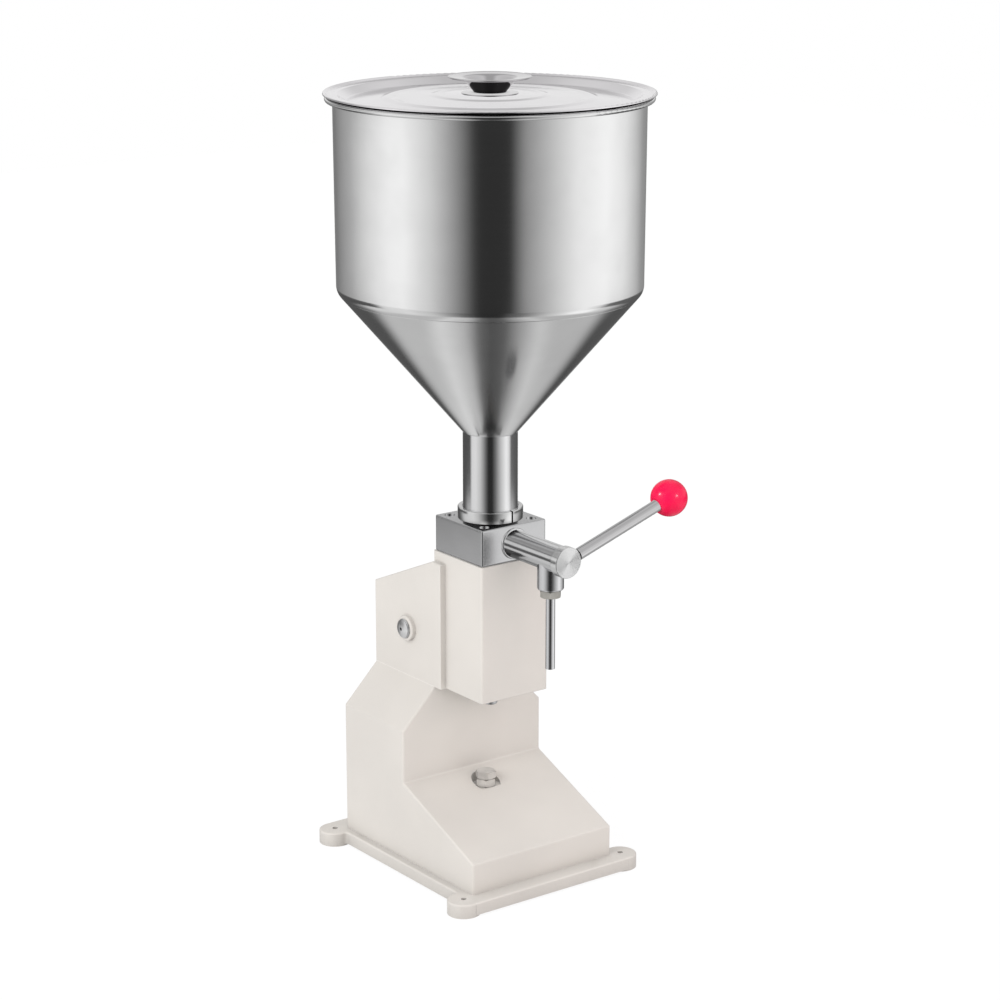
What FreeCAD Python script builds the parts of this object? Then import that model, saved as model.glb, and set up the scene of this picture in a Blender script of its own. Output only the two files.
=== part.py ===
import FreeCAD, Part
import math
import os

from FreeCAD import Placement, Rotation, Vector

# Piston paste filling machine, in millimetres.
# Origin: the centre of the four foot holes, at floor level. +Z is up, the discharge side faces -Y.

# Foot plate and its four bolt lugs
plate_lift = 1.5
plate_top = 12.5
plate_side_margin = 7.5
plate_edge_round = 1.5
lug_r = 14.3
lug_hole_r = 2.6
lug_reach_side = 10.5
lug_reach_front = 1.0
lug_reach_rear = 3.0
lug_notch_r = 3.0

# Foot housing: a low sloped front and a shouldered upright
body_width = 150.0
body_length = 194.0
lip_height = 27.5
upright_setback = 103.0
crease_rise = 42.0
shoulder_height = 48.0
shoulder_inset = 34.0
body_wall = 5.0
body_edge_round = 2.0
body_height = 151.8
boss_r = 7.0
boss_height = 20.0
boss_inset = 10.5

# Linkage box behind the column
box_setback_from_axis = 17.4
box_front_height = 112.9
box_rear_height = 75.8
box_flat_depth = 13.6
cheek_thickness = 5.75
box_wall = 5.0
box_edge_round = 1.5
axle_boss_r = 11.4
axle_boss_proud = 4.5

# Column and cylinder, on the upright axis that the hopper shares
axis_setback = 76.0
column_width = 70.5
column_height = 121.8
column_wall = 4.0
column_edge_round = 2.0
foot_plate_thickness = 6.0
head_plate_thickness = 10.0
cylinder_bore_r = 20.0
cylinder_wall = 4.0
cylinder_length = 53.0
flange_inset = 3.25
cylinder_flange_thickness = 4.0
gasket_thickness = 1.0
piston_thickness = 12.0
piston_top_gap = 1.5
piston_clear = 0.1
piston_ring_width = 2.4
piston_ring_depth = 2.2
piston_ring_inset = 3.6
piston_rod_r = 6.0
piston_rod_below_column = 16.0
rod_tip_round = 2.0
piston_spigot_r = 4.0
rod_nut_af = 13.0
rod_nut_height = 6.0
rod_end_sink = 0.5
spanner_room = 1.0
bush_wall = 4.0
running_clear = 0.05
free_gap = 0.3
cut_over = 1.0
touch = 0.01
same_point = 0.001

# Rocker linkage that drives the piston rod
rod_pin_r = 4.0
rod_pin_below_barrel = 12.0
rod_pin_over_clip = 2.2
clip_r = 6.5
clip_thickness = 1.0
crank_reach = 66.0
axle_above_body = 44.3
axle_r = 6.0
axle_hub_r = 13.0
axle_hub_half = 20.0
bush_outer_r = 8.5
fork_inner_half = 8.5
fork_outer_half = 14.0
fork_tip_r = 8.5
slot_clear = 0.8
slot_travel = 5.5
web_gap_to_rod = 18.5
rocker_window_margin = 4.0
rocker_window_over_barrel = 2.0
lock_pin_r = 2.0
lock_pin_sink = 1.0
spacer_r = 9.5
washer_r = 8.7
washer_thickness = 1.0
end_screw_head_r = 8.0
end_screw_head_edge = 0.7
end_screw_dome = 1.6
end_screw_r = 3.0
end_screw_length = 12.0
end_screw_tip_gap = 2.0
end_screw_socket_af = 3.0
end_screw_socket_depth = 1.2

# Valve block
block_width = 68.0
block_height = 31.8
block_edge_round = 1.5
screw_offset = 25.0
screw_well_r = 4.5
screw_well_depth = 20.0
screw_head_r = 4.2
screw_head_height = 5.0
screw_r = 2.5
screw_socket_af = 4.0
screw_clear = 0.25
thread_depth = 8.0
neck_socket_depth = 4.0
spigot_height = 6.0
spigot_wall = 1.6
port_r = 6.0

# Discharge arm, valve spindle, end cap and lever
arm_length = 66.4
arm_r = 12.2
weld_bead_r = 1.4
weld_bead_sink = 0.4
spindle_r = 9.0
spindle_bore_r = 4.0
spindle_bore_wall = 1.5
spindle_side_port_r = 5.0
spindle_outlet_r = 2.5
spindle_tail = 17.0
spindle_groove_r = 7.0
spindle_groove_width = 12.0
scallop_depth = 6.0
scallop_width = 13.0
cap_r = 13.4
cap_length = 8.5
cap_face = 2.2
cap_edge_round = 0.8
spindle_nose_r = 6.0
seal_section_r = 1.15
seal_spacing = 4.0
lever_angle = 18.5
lever_reach = 117.5
lever_r = 5.2
lever_root_r = 2.6
lever_root_start = 1.0
ball_r = 16.0
ball_stud_r = 4.0
ball_stud_length = 12.0
ball_flat_r = 7.0

# Spout: socket, nut and nozzle tube
spout_from_axis = 84.8
socket_r = 11.3
socket_drop = 28.5
socket_bore_r = 7.5
socket_edge_round = 2.0
nut_af = 17.0
nut_height = 6.4
nut_thread_length = 7.6
nut_chamfer = 1.2
nut_turn = -10.0
nozzle_r = 4.0
nozzle_bore_r = 2.8
nozzle_length = 63.6
nozzle_root_r = 4.5
nozzle_flange_clear = 0.9
nozzle_flange_thickness = 1.6
nozzle_seal_thickness = 0.8
nozzle_seal_bore_r = 5.0

# Hopper, its neck and the ring nut that holds it
neck_r = 23.6
neck_wall = 1.5
neck_height = 75.9
hopper_r = 129.2
wall_flare = 0.95
hopper_sheet = 1.2
cone_height = 123.1
cone_bend_r = 12.0
hopper_wall_height = 159.9
bead_r = 2.3
bead_reach = 4.25
bead_tail = 0.8
hopper_mouth_bend = 0.9
seam_below_bend = 0.8
seam_groove = 0.4
collar_wall = 2.4
seal_top_gap = 0.1
collar_lip = 2.6
collar_edge_round = 0.5
collar_top_round = 1.0
collar_slit = 1.8
collar_slit_angle = 5.0
neck_seal_r = 0.85

# Lid and its dished knob
lid_overhang = 1.4
lid_sheet = 1.0
lid_lip_rise = 3.0
lid_skirt = 2.8
lid_flange_inset = 2.4
lid_valley_run = 7.9
lid_valley_drop = 5.6
lid_rise = 5.2
lid_ring_outer_r = 84.0
lid_ring_inner_r = 44.0
lid_ring_height = 1.2
lid_ring_width = 11.0
lid_rim_bend = 1.1
lid_lip_bend = 2.0
lid_shoulder_bend = 2.0
lid_valley_bend = 3.0
lid_ring_bend = 12.0
knob_rim_r = 34.4
knob_waist_r = 13.2
knob_foot_r = 23.7
knob_height = 13.1
knob_wall = 1.2
knob_floor = 2.2
knob_flare = 0.7
knob_brim = 11.8
knob_brim_drop = 0.8
knob_waist_bend = 2.5
knob_brim_bend = 4.0
knob_foot_height = 1.0
knob_foot_slope = 0.4
knob_lip_r = 0.9
knob_screw_r = 3.0
knob_screw_head_r = 5.5
knob_screw_head_height = 3.0
knob_screw_head_round = 2.1
knob_screw_tip = 2.0
knob_nut_af = 10.0
knob_nut_height = 5.0

# Stroke stop: hexagon bolt and lock nut in a flat pocket on the slope
stop_from_axis = 7.0
stop_pocket_r = 13.0
stop_pocket_rise = 1.7
stop_bolt_r = 5.0
stop_bolt_af = 16.0
stop_head_height = 6.0
stop_nut_height = 6.6
stop_bolt_length = 50.0
stop_boss_r = 11.0
stop_boss_depth = 26.0
stop_nut_turn = -6.5
stop_bolt_turn = 8.0

# Corners turned off the hexagons
hex_chamfer = 1.0
small_hex_chamfer = 0.5
hex_chamfer_slope = 0.6

# Fasteners hidden under the foot plate
foot_screw_r = 3.0
foot_screw_head_r = 6.0
foot_screw_length = 24.0
foot_screw_tip_gap = 1.0

# Places worked out from the sizes above
lug_spacing_x = body_width + 2.0 * lug_reach_side
lug_spacing_y = body_length + lug_reach_front + lug_reach_rear
body_half = body_width / 2.0
body_front_y = lug_reach_front - lug_spacing_y / 2.0
body_rear_y = body_front_y + body_length
lip_top = plate_top + lip_height
upright_y = body_front_y + upright_setback
crease_z = lip_top + crease_rise
body_top = plate_top + body_height
shoulder_z = crease_z + shoulder_height
axis_y = body_front_y + axis_setback
column_half = column_width / 2.0
column_inner = column_half - column_wall
column_top = body_top + column_height
cylinder_flange_r = column_inner - flange_inset
box_half = column_half + cheek_thickness
box_front_y = axis_y + box_setback_from_axis
axle_y = axis_y + crank_reach
axle_z = body_top + axle_above_body
axle_end = box_half + axle_boss_proud
block_half = block_width / 2.0
block_top = column_top + block_height
block_front_y = axis_y - block_half
arm_z = (column_top + block_top) / 2.0
arm_front_y = block_front_y - arm_length
cap_rear_y = arm_front_y - free_gap
cap_front_y = cap_rear_y - cap_length
lever_y = cap_rear_y - cap_length / 2.0
ball_flat_reach = lever_reach - math.sqrt(ball_r * ball_r - ball_flat_r * ball_flat_r)
spout_y = axis_y - spout_from_axis
socket_bottom = arm_z - socket_drop
nut_bottom = socket_bottom - nut_height
nozzle_tip_z = nut_bottom - nozzle_length
nozzle_flange_r = socket_bore_r - nozzle_flange_clear
socket_thread_depth = nut_thread_length + nozzle_flange_thickness + nozzle_seal_thickness
barrel_bottom = column_top - cylinder_length
flange_top = column_top - gasket_thickness
piston_top = column_top - piston_top_gap
piston_bottom = piston_top - piston_thickness
piston_r = cylinder_bore_r - piston_clear
rod_pin_z = barrel_bottom - rod_pin_below_barrel
rod_pin_reach = fork_outer_half + free_gap + clip_thickness + rod_pin_over_clip
rod_tip_z = body_top - piston_rod_below_column
neck_seat = block_top - neck_socket_depth
neck_bottom = neck_seat + free_gap
spigot_top = block_top + spigot_height
spigot_bore_r = neck_r + free_gap
spigot_r = spigot_bore_r + spigot_wall
collar_r = spigot_r + free_gap + collar_wall
collar_top = spigot_top + 2.0 * neck_seal_r + seal_top_gap + collar_lip
cone_bottom = block_top + neck_height
cone_top = cone_bottom + cone_height
hopper_top = cone_top + hopper_wall_height
hopper_top_r = hopper_r + wall_flare
bead_r_centre = hopper_top_r + bead_reach
cone_angle = math.atan((hopper_r - neck_r) / cone_height)
seam_reach = cone_bend_r * math.tan(cone_angle / 2.0) + seam_below_bend
seam_r = hopper_r - seam_reach * math.sin(cone_angle)
seam_z = cone_top - seam_reach * math.cos(cone_angle)
lid_seat = hopper_top + bead_r + free_gap
lid_r = bead_r_centre + bead_r + lid_overhang
lid_flange_r = hopper_top_r - hopper_sheet - lid_flange_inset
lid_valley_r = lid_flange_r - lid_valley_run
lid_flange_z = lid_seat + lid_sheet
lid_valley_z = lid_flange_z - lid_valley_drop
lid_centre_z = lid_valley_z + lid_rise
stop_y = axis_y + stop_from_axis
slope = crease_rise / upright_setback
stop_floor = lip_top + (stop_y - stop_pocket_r - body_front_y) * slope + stop_pocket_rise


def rod(radius, start, end):
    """A round bar between two points."""
    line = end - start
    return Part.makeCylinder(radius, line.Length, start, line)


def tube(outer, inner, start, end):
    """A round tube between two points."""
    return rod(outer, start, end).cut(rod(inner, start, end))


def on_axis(z):
    """The point at height z on the upright cylinder axis."""
    return Vector(0, axis_y, z)


def block_between(low, high):
    """A rectangular block between two opposite corners."""
    size = high - low
    return Part.makeBox(size.x, size.y, size.z, low)


def offset_path(points, distance):
    """Move an open path to its left by a distance, keeping its corners sharp."""
    moved = []
    last = len(points) - 1
    for index, (u, v) in enumerate(points):
        normals = []
        for near, far in ((index - 1, index), (index, index + 1)):
            if near < 0 or far > last:
                continue
            du = points[far][0] - points[near][0]
            dv = points[far][1] - points[near][1]
            length = math.hypot(du, dv)
            normals.append((-dv / length, du / length))
        nu = sum(n[0] for n in normals) / len(normals)
        nv = sum(n[1] for n in normals) / len(normals)
        stretch = distance / (nu * nu + nv * nv)
        moved.append((u + nu * stretch, v + nv * stretch))
    return moved


def rounded_edges(points, radii):
    """Straight edges through 3-D points, with an arc of the given radius at each inner point."""
    edges = []
    start = points[0]
    for before, corner, after, radius in zip(points, points[1:], points[2:], radii):
        back = (before - corner).normalize()
        ahead = (after - corner).normalize()
        half = back.getAngle(ahead) / 2.0
        if radius <= 0:
            edges.append(Part.makeLine(start, corner))
            start = corner
            continue
        reach = radius / math.tan(half)
        middle = (back + ahead).normalize()
        depth = radius / math.sin(half) - radius
        first = corner + back * reach
        second = corner + ahead * reach
        if (first - start).Length > same_point:
            edges.append(Part.makeLine(start, first))
        edges.append(Part.Arc(first, corner + middle * depth, second).toShape())
        start = second
    edges.append(Part.makeLine(start, points[-1]))
    return edges


def turned(profile, radii=None):
    """A solid of revolution on the cylinder axis, from a closed (radius, height) outline."""
    points = [Vector(r, axis_y, z) for r, z in profile]
    radii = radii or [0.0] * len(points)
    edges = rounded_edges(points + [points[0]], radii[1:])
    face = Part.Face(Part.Wire(edges))
    return face.revolve(on_axis(0), Vector(0, 0, 1), 360)


def turned_sheet(path, radii, sheet):
    """Spun sheet of one thickness: the path is the outer side, and the sheet lies to its left."""
    inner = offset_path(path, sheet)
    outline = path + inner[::-1]
    bends = [0.0] + radii + [0.0]
    inner_bends = [0.0]
    for index, radius in enumerate(radii):
        (au, av), (bu, bv), (cu, cv) = path[index:index + 3]
        left_turn = (bu - au) * (cv - bv) - (bv - av) * (cu - bu) > 0
        change = -sheet if left_turn else sheet
        inner_bends.append(radius + change if radius > 0 else 0.0)
    inner_bends.append(0.0)
    return turned(outline, bends + inner_bends[::-1])


def extruded(outline, radii, direction, place):
    """A prism from a closed outline of 2-D points; place turns a 2-D point into a 3-D one."""
    points = [place(u, v) for u, v in outline]
    edges = rounded_edges(points + [points[0]], radii[1:])
    return Part.Face(Part.Wire(edges)).extrude(direction)


def hexagon(across_flats, low, high, chamfer=0.0, turn=0.0):
    """An upright hexagonal prism between two points, with its corners turned off at both ends."""
    corner_r = across_flats / math.sqrt(3.0)
    height = high.z - low.z
    points = []
    for step in range(7):
        angle = math.radians(60.0 * step + turn)
        points.append(low + Vector(corner_r * math.cos(angle), corner_r * math.sin(angle), 0))
    prism = Part.Face(Part.makePolygon(points)).extrude(Vector(0, 0, height))
    if chamfer <= 0:
        return prism
    drop = chamfer * hex_chamfer_slope
    flat_r = across_flats / 2.0
    lower = Part.makeCone(flat_r, corner_r + chamfer, drop * 2.0, low, Vector(0, 0, 1))
    upper_base = high - Vector(0, 0, drop * 2.0)
    upper = Part.makeCone(corner_r + chamfer, flat_r, drop * 2.0, upper_base, Vector(0, 0, 1))
    middle = rod(corner_r + chamfer, low + Vector(0, 0, drop * 2.0), upper_base)
    return prism.common(lower.fuse([middle, upper]))


def outer_edges(shape, test):
    """The edges of a shape that pass a test on their middle point and direction."""
    chosen = []
    for edge in shape.Edges:
        middle = edge.valueAt((edge.FirstParameter + edge.LastParameter) / 2.0)
        if test(edge, middle):
            chosen.append(edge)
    return chosen


def is_upright(edge):
    ends = [vertex.Point for vertex in edge.Vertexes]
    if len(ends) < 2:
        return False
    line = ends[1] - ends[0]
    return abs(line.x) < touch and abs(line.y) < touch


def lug_centres():
    return [Vector(sx * lug_spacing_x / 2.0, sy * lug_spacing_y / 2.0, 0)
            for sx in (-1, 1) for sy in (-1, 1)]


def foot_screw_centres():
    half_x = body_half - boss_inset
    front = body_front_y + boss_inset
    rear = body_rear_y - boss_inset
    return [Vector(sx * half_x, y, 0) for sx in (-1, 1) for y in (front, rear)]


def base_plate():
    half_x = body_half + plate_side_margin
    half_y = lug_spacing_y / 2.0 + lug_r
    low = Vector(-half_x, -half_y, plate_lift)
    plate = block_between(low, Vector(half_x, half_y, plate_top))
    lugs = [rod(lug_r, c, c + Vector(0, 0, plate_top)) for c in lug_centres()]
    shape = plate.fuse(lugs).removeSplitter()
    notches = outer_edges(shape, lambda e, m: is_upright(e) and abs(abs(m.x) - half_x) < touch
                          and abs(m.y) < half_y - 2.0 * lug_notch_r)
    shape = shape.makeFillet(lug_notch_r, notches)
    rims = outer_edges(shape, lambda e, m: abs(m.z - plate_top) < touch)
    shape = shape.makeFillet(plate_edge_round, rims)
    for centre in lug_centres():
        shape = shape.cut(rod(lug_hole_r, centre, centre + Vector(0, 0, plate_top)))
    for centre in foot_screw_centres():
        bottom = centre + Vector(0, 0, plate_lift)
        sink = foot_screw_head_r - foot_screw_r
        shape = shape.cut(rod(foot_screw_r + screw_clear, bottom, centre + Vector(0, 0, plate_top)))
        shape = shape.cut(Part.makeCone(foot_screw_head_r + screw_clear, foot_screw_r + screw_clear,
                                        sink, bottom, Vector(0, 0, 1)))
    return shape


def base_screws():
    screws = []
    for centre in foot_screw_centres():
        bottom = centre + Vector(0, 0, plate_lift)
        sink = foot_screw_head_r - foot_screw_r
        head = Part.makeCone(foot_screw_head_r, foot_screw_r, sink, bottom, Vector(0, 0, 1))
        shank = rod(foot_screw_r, bottom, bottom + Vector(0, 0, foot_screw_length))
        socket = hexagon(screw_socket_af, bottom, bottom + Vector(0, 0, sink / 2.0))
        screws.append(head.fuse(shank).cut(socket))
    return Part.makeCompound(screws)


def housing_form(inset):
    """The sloped and shouldered body, each face moved inwards by an inset, on the foot plate."""
    side = [(body_front_y, plate_top), (body_front_y, lip_top), (upright_y, crease_z),
            (upright_y, body_top), (body_rear_y, body_top), (body_rear_y, plate_top)]
    front = [(-body_half, plate_top), (-body_half, shoulder_z),
             (shoulder_inset - body_half, body_top), (body_half - shoulder_inset, body_top),
             (body_half, shoulder_z), (body_half, plate_top)]
    side = offset_path(side, -inset)
    front = offset_path(front, -inset)
    none = [0.0] * len(side)
    side_prism = extruded(side, none, Vector(body_width, 0, 0), lambda y, z: Vector(-body_half, y, z))
    front_prism = extruded(front, none, Vector(0, body_length, 0),
                           lambda x, z: Vector(x, body_front_y, z))
    return side_prism.common(front_prism).removeSplitter()


def foot_housing():
    shape = housing_form(0.0)
    edges = outer_edges(shape, lambda e, m: plate_top + touch < m.z < body_top - touch)
    shape = shape.makeFillet(body_edge_round, edges)
    pocket_low = Vector(0, stop_y, stop_floor)
    shape = shape.cut(rod(stop_pocket_r, pocket_low, Vector(0, stop_y, crease_z + boss_height)))
    cavity = housing_form(body_wall)
    stop_boss = rod(stop_boss_r, Vector(0, stop_y, stop_floor - stop_boss_depth), pocket_low)
    pocket_high = Vector(0, stop_y, crease_z)
    pad = rod(stop_pocket_r + body_wall, pocket_low - Vector(0, 0, body_wall), pocket_high)
    cavity = cavity.cut([stop_boss, pad])
    for centre in foot_screw_centres():
        low = centre + Vector(0, 0, plate_top)
        cavity = cavity.cut(rod(boss_r, low, low + Vector(0, 0, boss_height)))
    shape = shape.cut(cavity)
    thread = rod(stop_bolt_r + running_clear, Vector(0, stop_y, stop_floor - stop_boss_depth), pocket_low)
    shape = shape.cut(thread)
    for centre in foot_screw_centres():
        low = centre + Vector(0, 0, plate_top)
        high = centre + Vector(0, 0, plate_lift + foot_screw_length + foot_screw_tip_gap)
        shape = shape.cut(rod(foot_screw_r + running_clear, low, high))
    return shape


def linkage_box():
    box_top = body_top + box_front_height
    rear_top = body_top + box_rear_height
    flat_end = box_front_y + box_flat_depth
    side = [(box_front_y, body_top), (box_front_y, box_top), (flat_end, box_top),
            (body_rear_y, rear_top), (body_rear_y, body_top)]
    outer = extruded(side, [0.0] * 5, Vector(2.0 * box_half, 0, 0),
                     lambda y, z: Vector(-box_half, y, z))
    rounds = outer_edges(outer, lambda e, m: m.z > body_top + touch and abs(m.x) > touch
                         and abs(m.y - box_front_y) > touch)
    outer = outer.makeFillet(box_edge_round, rounds)
    lowered = offset_path(side[1:4], -box_wall)
    back = body_rear_y - box_wall
    tail = lowered[-1][1]
    inner = [(box_front_y, body_top), (box_front_y, lowered[0][1]), lowered[1], (back, tail),
             (back, body_top)]
    hollow = extruded(inner, [0.0] * 5, Vector(2.0 * column_half, 0, 0),
                      lambda y, z: Vector(-column_half, y, z))
    column_room = block_between(Vector(-column_half, box_front_y, body_top),
                                Vector(column_half, axis_y + column_half, column_top))
    shape = outer.cut([hollow, column_room])
    for side_sign in (-1, 1):
        face = Vector(side_sign * column_half, axle_y, axle_z)
        end = Vector(side_sign * axle_end, axle_y, axle_z)
        boss = rod(axle_boss_r, face, end)
        rims = outer_edges(boss, lambda e, m: abs(abs(m.x) - axle_end) < touch)
        boss = boss.makeFillet(box_edge_round, rims)
        shape = shape.fuse(boss).cut(rod(bush_outer_r, face, end))
    return shape.removeSplitter()


def square_bar(half, low, high, edge_round=0.0):
    """An upright square bar on the cylinder axis."""
    corner = Vector(-half, axis_y - half, low)
    bar = Part.makeBox(2.0 * half, 2.0 * half, high - low, corner)
    if edge_round <= 0:
        return bar
    return bar.makeFillet(edge_round, outer_edges(bar, lambda e, m: is_upright(e)))


def column():
    shell = square_bar(column_half, body_top, column_top, column_edge_round)
    shell = shell.cut(square_bar(column_inner, body_top, column_top))
    window_low = body_top + foot_plate_thickness + rocker_window_margin
    window_high = barrel_bottom + rocker_window_over_barrel
    window_half = fork_outer_half + rocker_window_margin
    window = block_between(Vector(-window_half, axis_y, window_low),
                           Vector(window_half, axis_y + column_half, window_high))
    return shell.cut(window)


def column_foot_plate():
    plate = square_bar(column_inner, body_top, body_top + foot_plate_thickness)
    bore_r = piston_rod_r + running_clear + bush_wall
    return plate.cut(rod(bore_r, on_axis(body_top), on_axis(body_top + foot_plate_thickness)))


def rod_bush():
    inner = piston_rod_r + running_clear
    outer = inner + bush_wall
    return tube(outer, inner, on_axis(body_top), on_axis(body_top + foot_plate_thickness))


def block_screw_centres():
    return [Vector(sx * screw_offset, axis_y + sy * screw_offset, 0)
            for sx in (-1, 1) for sy in (-1, 1)]


def head_plate():
    low = column_top - head_plate_thickness
    plate = square_bar(column_inner, low, column_top)
    recess_depth = gasket_thickness + cylinder_flange_thickness
    plate = plate.cut(rod(cylinder_bore_r + cylinder_wall, on_axis(low), on_axis(column_top)))
    plate = plate.cut(rod(cylinder_flange_r, on_axis(column_top - recess_depth), on_axis(column_top)))
    for centre in block_screw_centres():
        start = centre + Vector(0, 0, low)
        plate = plate.cut(rod(screw_r + running_clear, start, centre + Vector(0, 0, column_top)))
    return plate


def cylinder_gasket():
    return tube(cylinder_flange_r, cylinder_bore_r, on_axis(flange_top), on_axis(column_top))


def cylinder_barrel():
    outer = cylinder_bore_r + cylinder_wall
    wall = rod(outer, on_axis(barrel_bottom), on_axis(flange_top))
    flange = rod(cylinder_flange_r, on_axis(flange_top - cylinder_flange_thickness), on_axis(flange_top))
    return wall.fuse(flange).cut(rod(cylinder_bore_r, on_axis(barrel_bottom), on_axis(flange_top)))


def piston_ring_heights():
    return [piston_bottom + piston_ring_inset, piston_top - piston_ring_inset]


def piston():
    shape = rod(piston_r, on_axis(piston_bottom), on_axis(piston_top))
    for z in piston_ring_heights():
        low = z - piston_ring_width / 2.0
        high = z + piston_ring_width / 2.0
        groove_floor = piston_r - piston_ring_depth
        shape = shape.cut(tube(piston_r + cut_over, groove_floor, on_axis(low), on_axis(high)))
    shape = shape.cut(rod(piston_spigot_r, on_axis(piston_bottom), on_axis(piston_top)))
    recess = rod_nut_af / math.sqrt(3.0) + spanner_room
    return shape.cut(rod(recess, on_axis(piston_top - rod_nut_height), on_axis(piston_top)))


def piston_seals():
    rings = []
    outer = cylinder_bore_r - running_clear
    inner = piston_r - piston_ring_depth
    half = piston_ring_width / 2.0 - running_clear
    for z in piston_ring_heights():
        rings.append(tube(outer, inner, on_axis(z - half), on_axis(z + half)))
    return Part.makeCompound(rings)


def piston_rod():
    spigot_end = piston_top - rod_end_sink
    profile = [(0.0, rod_tip_z), (piston_rod_r, rod_tip_z), (piston_rod_r, piston_bottom),
               (piston_spigot_r, piston_bottom), (piston_spigot_r, spigot_end), (0.0, spigot_end)]
    shape = turned(profile, [0.0, rod_tip_round, 0.0, 0.0, 0.0, 0.0])
    half = piston_rod_r + cut_over
    hole = rod(rod_pin_r, Vector(-half, axis_y, rod_pin_z), Vector(half, axis_y, rod_pin_z))
    return shape.cut(hole)


def piston_nut():
    low = on_axis(piston_top - rod_nut_height)
    high = on_axis(piston_top - rod_end_sink)
    return hexagon(rod_nut_af, low, high, small_hex_chamfer).cut(rod(piston_spigot_r, low, high))


def rod_pin():
    start = Vector(-rod_pin_reach, axis_y, rod_pin_z)
    return rod(rod_pin_r, start, Vector(rod_pin_reach, axis_y, rod_pin_z))


def rod_pin_clips():
    clips = []
    for side_sign in (-1, 1):
        inner = Vector(side_sign * (fork_outer_half + free_gap), axis_y, rod_pin_z)
        outer = inner + Vector(side_sign * clip_thickness, 0, 0)
        clips.append(tube(clip_r, rod_pin_r, inner, outer))
    return Part.makeCompound(clips)


def axle_point(x):
    return Vector(x, axle_y, axle_z)


def rocker_place():
    """Turns what is built pointing to -Y so that it meets the rod pin, on the cross axle."""
    tilt = math.degrees(math.atan2(rod_pin_z - axle_z, crank_reach))
    return Placement(axle_point(0), Rotation(Vector(1, 0, 0), -tilt)).toMatrix()


def rocker_arm():
    """Hub and slotted fork; the slot runs outwards from where the rod pin is at rest."""
    slot_r = rod_pin_r + slot_clear
    near = crank_reach
    far = crank_reach + slot_travel
    cheeks = []
    for low_x, high_x in ((-fork_outer_half, -fork_inner_half), (fork_inner_half, fork_outer_half)):
        width = Vector(high_x - low_x, 0, 0)
        hub = Part.makeCylinder(axle_hub_r, width.x, Vector(low_x, 0, 0), width)
        tip = Part.makeCylinder(fork_tip_r, width.x, Vector(low_x, -far, 0), width)
        taper = math.asin((axle_hub_r - fork_tip_r) / far)
        lean_y = -math.sin(taper)
        lean_z = math.cos(taper)
        outline = [(axle_hub_r * lean_y, axle_hub_r * lean_z),
                   (-far + fork_tip_r * lean_y, fork_tip_r * lean_z),
                   (-far + fork_tip_r * lean_y, -fork_tip_r * lean_z),
                   (axle_hub_r * lean_y, -axle_hub_r * lean_z)]
        web = extruded(outline, [0.0] * 4, width, lambda y, z: Vector(low_x, y, z))
        cheek = hub.fuse([web, tip])
        slot_bar = block_between(Vector(low_x, -far, -slot_r), Vector(high_x, -near, slot_r))
        ends = [Part.makeCylinder(slot_r, width.x, Vector(low_x, -reach, 0), width)
                for reach in (near, far)]
        cheeks.append(cheek.cut(slot_bar.fuse(ends)))
    hub_span = Vector(2.0 * axle_hub_half, 0, 0)
    hub = Part.makeCylinder(axle_hub_r, hub_span.x, Vector(-axle_hub_half, 0, 0), hub_span)
    web_end = crank_reach - piston_rod_r - web_gap_to_rod
    web = block_between(Vector(-fork_inner_half, -web_end, -fork_tip_r),
                        Vector(fork_inner_half, 0, fork_tip_r))
    arm = hub.fuse(cheeks + [web]).removeSplitter()
    arm = arm.cut(Part.makeCylinder(axle_r, hub_span.x, Vector(-axle_hub_half, 0, 0), hub_span))
    lock = Part.makeCylinder(lock_pin_r, 2.0 * axle_hub_r, Vector(0, 0, -axle_hub_r), Vector(0, 0, 1))
    arm = arm.cut(lock)
    return arm.transformed(rocker_place())


def rocker_lock_pin():
    half = axle_hub_r - lock_pin_sink
    pin = Part.makeCylinder(lock_pin_r, 2.0 * half, Vector(0, 0, -half), Vector(0, 0, 1))
    return pin.transformed(rocker_place())


def cross_axle():
    half = axle_end + free_gap
    shape = rod(axle_r, axle_point(-half), axle_point(half))
    for side_sign in (-1, 1):
        end = axle_point(side_sign * half)
        shape = shape.cut(rod(end_screw_r, end, axle_point(side_sign * (half - end_screw_length))))
    lock = Part.makeCylinder(lock_pin_r, 2.0 * axle_hub_r, Vector(0, 0, -axle_hub_r), Vector(0, 0, 1))
    return shape.cut(lock.transformed(rocker_place()))


def axle_spacers():
    spacers = []
    for side_sign in (-1, 1):
        start = axle_point(side_sign * axle_hub_half)
        end = axle_point(side_sign * (column_half - free_gap))
        spacers.append(tube(spacer_r, axle_r, start, end))
    return Part.makeCompound(spacers)


def axle_bushes():
    bushes = []
    for side_sign in (-1, 1):
        start = axle_point(side_sign * column_half)
        end = axle_point(side_sign * axle_end)
        bushes.append(tube(bush_outer_r, axle_r + running_clear, start, end))
    return Part.makeCompound(bushes)


def axle_washers():
    washers = []
    for side_sign in (-1, 1):
        start = axle_point(side_sign * (axle_end + free_gap))
        end = axle_point(side_sign * (axle_end + free_gap + washer_thickness))
        washer = tube(washer_r, end_screw_r, start, end)
        rims = outer_edges(washer, lambda e, m: abs((m - end).Length - washer_r) < touch)
        washers.append(washer.makeFillet(washer_thickness / 2.0, rims))
    return Part.makeCompound(washers)


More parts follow.
